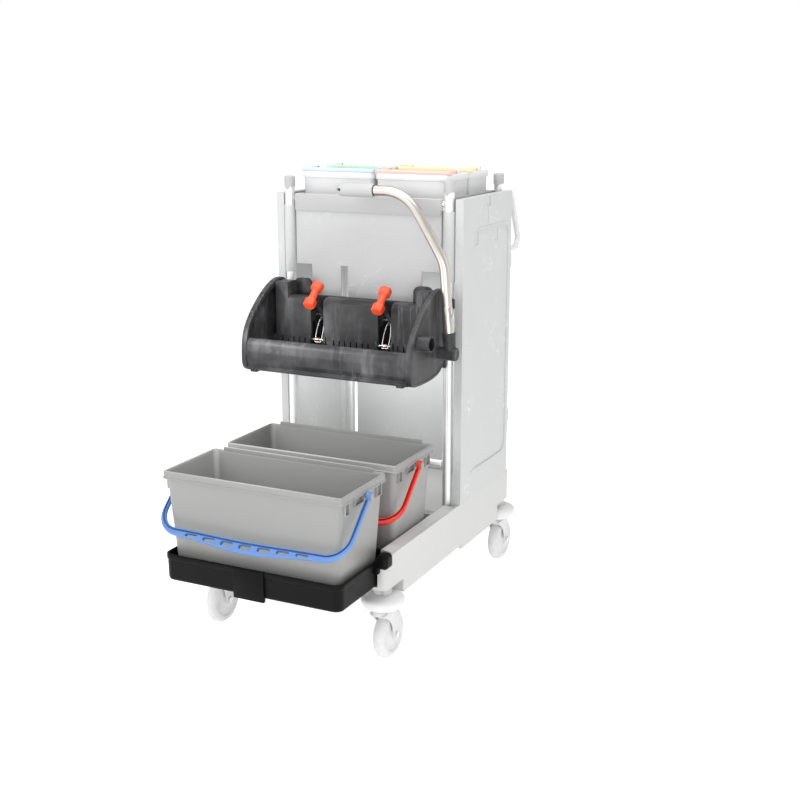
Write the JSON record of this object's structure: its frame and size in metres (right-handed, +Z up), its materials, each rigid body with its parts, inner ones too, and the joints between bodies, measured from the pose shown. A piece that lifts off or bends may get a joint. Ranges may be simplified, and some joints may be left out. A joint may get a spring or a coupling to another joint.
{
  "type": "double mop bucket trolley",
  "caption": "Cleaning trolley on swivel castors with a cabinet, a lever mop press over grey lift-out buckets with hinged bails, a side door, push loops and small caddies on top.",
  "frame": {"origin": "on the floor, at the middle of the whole object seen from above", "axes": "+Z up; -Y is the front, where the buckets stand; +X is the side with the lever and the door"},
  "size_m": [0.5759, 1.1064, 1.1236],
  "materials": {
    "base_plastic": "moulded, fine grain",
    "panel_plastic": "moulded, fine grain, light scuffs",
    "bumper_plastic": "smooth",
    "post_steel": "bright satin tube",
    "cap_plastic": "smooth",
    "press_plastic": "textured, scuffed",
    "tray_plastic": "textured",
    "bucket_plastic": "satin moulded",
    "bail_blue": "satin moulded",
    "bail_red": "satin moulded",
    "knob_red": "satin moulded",
    "caddy_plastic": "smooth",
    "handle_blue": "satin moulded",
    "handle_red": "satin moulded",
    "handle_green": "satin moulded",
    "handle_yellow": "satin moulded",
    "lever_steel": "warm satin tube",
    "grip_plastic": "smooth",
    "bright_steel": "plated",
    "copper_roller": "polished",
    "fork_steel": "pale satin",
    "wheel_rubber": "pale non-marking"
  },
  "bodies": {
    "chassis": {"base": "base_plastic", "castor_bumpers": "bumper_plastic", "front_posts": "post_steel", "rear_posts": "post_steel", "post_caps": "cap_plastic", "post_sleeves": "panel_plastic", "cross_rails": "post_steel", "front_panel": "panel_plastic", "back_panel": "panel_plastic", "left_panel": "panel_plastic", "top_tray": "panel_plastic", "push_loops": "post_steel", "door_hinges": "post_steel", "front_tray": "tray_plastic", "tray_clips": "tray_plastic", "press_cheek_left": "press_plastic", "press_cheek_right": "press_plastic", "press_front_bar": "press_plastic", "press_floor": "press_plastic", "press_back": "press_plastic", "press_bolts": "bright_steel"},
    "castor_fl": {"castor_fork_fl": "fork_steel", "castor_axle_fl": "bright_steel"},
    "wheel_fl": {"castor_wheel_fl": "wheel_rubber"},
    "castor_fr": {"castor_fork_fr": "fork_steel", "castor_axle_fr": "bright_steel"},
    "wheel_fr": {"castor_wheel_fr": "wheel_rubber"},
    "castor_rl": {"castor_fork_rl": "fork_steel", "castor_axle_rl": "bright_steel"},
    "wheel_rl": {"castor_wheel_rl": "wheel_rubber"},
    "castor_rr": {"castor_fork_rr": "fork_steel", "castor_axle_rr": "bright_steel"},
    "wheel_rr": {"castor_wheel_rr": "wheel_rubber"},
    "bucket_front": {"bucket_front": "bucket_plastic"},
    "bail_front": {"bail_front": "bail_blue"},
    "bucket_rear": {"bucket_rear": "bucket_plastic"},
    "bail_rear": {"bail_rear": "bail_red"},
    "caddy_fl": {"caddy_fl": "caddy_plastic"},
    "caddy_handle_fl": {"caddy_handle_fl": "handle_blue"},
    "caddy_fr": {"caddy_fr": "caddy_plastic"},
    "caddy_handle_fr": {"caddy_handle_fr": "handle_red"},
    "caddy_rl": {"caddy_rl": "caddy_plastic"},
    "caddy_handle_rl": {"caddy_handle_rl": "handle_green"},
    "caddy_rr": {"caddy_rr": "caddy_plastic"},
    "caddy_handle_rr": {"caddy_handle_rr": "handle_yellow"},
    "lever": {"press_shaft": "bright_steel", "lever_elbow": "press_plastic", "lever_tube": "lever_steel", "lever_grip": "grip_plastic"},
    "lever_button": {"lever_button": "bright_steel"},
    "press_plate": {"press_plate": "press_plastic", "latch_pins": "copper_roller"},
    "latch_left": {"latch_arm_left": "press_plastic", "latch_knob_left": "knob_red"},
    "wire_left": {"latch_wire_left": "bright_steel"},
    "latch_right": {"latch_arm_right": "press_plastic", "latch_knob_right": "knob_red"},
    "wire_right": {"latch_wire_right": "bright_steel"},
    "side_door": {"side_door": "panel_plastic"}
  },
  "joints": [
    {"name": "castor_swivel_fl", "type": "hinge", "parent": "chassis", "child": "castor_fl", "pos_m": [-0.236, -0.32282, 0.16], "axis": [0, 0, 1], "continuous": true},
    {"name": "wheel_spin_fl", "type": "hinge", "parent": "castor_fl", "child": "wheel_fl", "pos_m": [-0.236, -0.29382, 0.06], "axis": [1, 0, 0], "continuous": true},
    {"name": "castor_swivel_fr", "type": "hinge", "parent": "chassis", "child": "castor_fr", "pos_m": [0.236, -0.32282, 0.16], "axis": [0, 0, 1], "continuous": true},
    {"name": "wheel_spin_fr", "type": "hinge", "parent": "castor_fr", "child": "wheel_fr", "pos_m": [0.236, -0.29382, 0.06], "axis": [1, 0, 0], "continuous": true},
    {"name": "castor_swivel_rl", "type": "hinge", "parent": "chassis", "child": "castor_rl", "pos_m": [-0.236, 0.39518, 0.16], "axis": [0, 0, 1], "continuous": true},
    {"name": "wheel_spin_rl", "type": "hinge", "parent": "castor_rl", "child": "wheel_rl", "pos_m": [-0.236, 0.42418, 0.06], "axis": [1, 0, 0], "continuous": true},
    {"name": "castor_swivel_rr", "type": "hinge", "parent": "chassis", "child": "castor_rr", "pos_m": [0.236, 0.39518, 0.16], "axis": [0, 0, 1], "continuous": true},
    {"name": "wheel_spin_rr", "type": "hinge", "parent": "castor_rr", "child": "wheel_rr", "pos_m": [0.236, 0.42418, 0.06], "axis": [1, 0, 0], "continuous": true},
    {"name": "bucket_front_lift", "type": "slide", "parent": "chassis", "child": "bucket_front", "axis": [0, 0, 1], "range_m": [0, 0.15]},
    {"name": "bail_front_swing", "type": "hinge", "parent": "bucket_front", "child": "bail_front", "pos_m": [0, -0.41082, 0.4373], "axis": [-1, 0, 0], "range_deg": [-9, 133]},
    {"name": "bucket_rear_lift", "type": "slide", "parent": "chassis", "child": "bucket_rear", "axis": [0, 0, 1], "range_m": [0, 0.15]},
    {"name": "bail_rear_swing", "type": "hinge", "parent": "bucket_rear", "child": "bail_rear", "pos_m": [0, -0.14582, 0.4373], "axis": [-1, 0, 0], "range_deg": [-9, 9]},
    {"name": "caddy_lift_fl", "type": "slide", "parent": "chassis", "child": "caddy_fl", "axis": [0, 0, 1], "range_m": [0, 0.12]},
    {"name": "caddy_handle_swing_fl", "type": "hinge", "parent": "caddy_fl", "child": "caddy_handle_fl", "pos_m": [-0.107, 0.16418, 1.1171], "axis": [-1, 0, 0], "range_deg": [0, 180]},
    {"name": "caddy_lift_fr", "type": "slide", "parent": "chassis", "child": "caddy_fr", "axis": [0, 0, 1], "range_m": [0, 0.12]},
    {"name": "caddy_handle_swing_fr", "type": "hinge", "parent": "caddy_fr", "child": "caddy_handle_fr", "pos_m": [0.107, 0.16418, 1.1171], "axis": [-1, 0, 0], "range_deg": [0, 180]},
    {"name": "caddy_lift_rl", "type": "slide", "parent": "chassis", "child": "caddy_rl", "axis": [0, 0, 1], "range_m": [0, 0.12]},
    {"name": "caddy_handle_swing_rl", "type": "hinge", "parent": "caddy_rl", "child": "caddy_handle_rl", "pos_m": [-0.107, 0.29618, 1.1171], "axis": [-1, 0, 0], "range_deg": [0, 180]},
    {"name": "caddy_lift_rr", "type": "slide", "parent": "chassis", "child": "caddy_rr", "axis": [0, 0, 1], "range_m": [0, 0.12]},
    {"name": "caddy_handle_swing_rr", "type": "hinge", "parent": "caddy_rr", "child": "caddy_handle_rr", "pos_m": [0.107, 0.29618, 1.1171], "axis": [-1, 0, 0], "range_deg": [0, 180]},
    {"name": "lever_swing", "type": "hinge", "parent": "chassis", "child": "lever", "pos_m": [0, -0.01082, 0.688], "axis": [1, 0, 0], "range_deg": [0, 52]},
    {"name": "lever_button_press", "type": "slide", "parent": "lever", "child": "lever_button", "axis": [0, 1, 0], "range_m": [0, 0.003], "stiffness_N_per_m": 300},
    {"name": "press_plate_slide", "type": "slide", "parent": "chassis", "child": "press_plate", "axis": [0, -1, 0], "range_m": [0, 0.06157]},
    {"name": "latch_swing_left", "type": "hinge", "parent": "press_plate", "child": "latch_left", "pos_m": [-0.096, 0.00718, 0.7543], "axis": [1, 0, 0], "range_deg": [0, 33]},
    {"name": "latch_wire_swing_left", "type": "hinge", "parent": "latch_left", "child": "wire_left", "pos_m": [-0.096, -0.00482, 0.7483], "axis": [1, 0, 0], "range_deg": [-33.5, 0.5]},
    {"name": "latch_swing_right", "type": "hinge", "parent": "press_plate", "child": "latch_right", "pos_m": [0.096, 0.00718, 0.7543], "axis": [1, 0, 0], "range_deg": [0, 33]},
    {"name": "latch_wire_swing_right", "type": "hinge", "parent": "latch_right", "child": "wire_right", "pos_m": [0.096, -0.00482, 0.7483], "axis": [1, 0, 0], "range_deg": [-33.5, 0.5]},
    {"name": "side_door_swing", "type": "hinge", "parent": "chassis", "child": "side_door", "pos_m": [0.256, 0.40218, 0.66], "axis": [0, 0, 1], "range_deg": [0, 100]}
  ],
  "couplings": [
    {"joint": "press_plate_slide", "follows": "lever_swing", "m_per_rad": 0.067622},
    {"joint": "latch_wire_swing_left", "follows": "latch_swing_left", "ratio": -1},
    {"joint": "latch_wire_swing_right", "follows": "latch_swing_right", "ratio": -1}
  ]
}
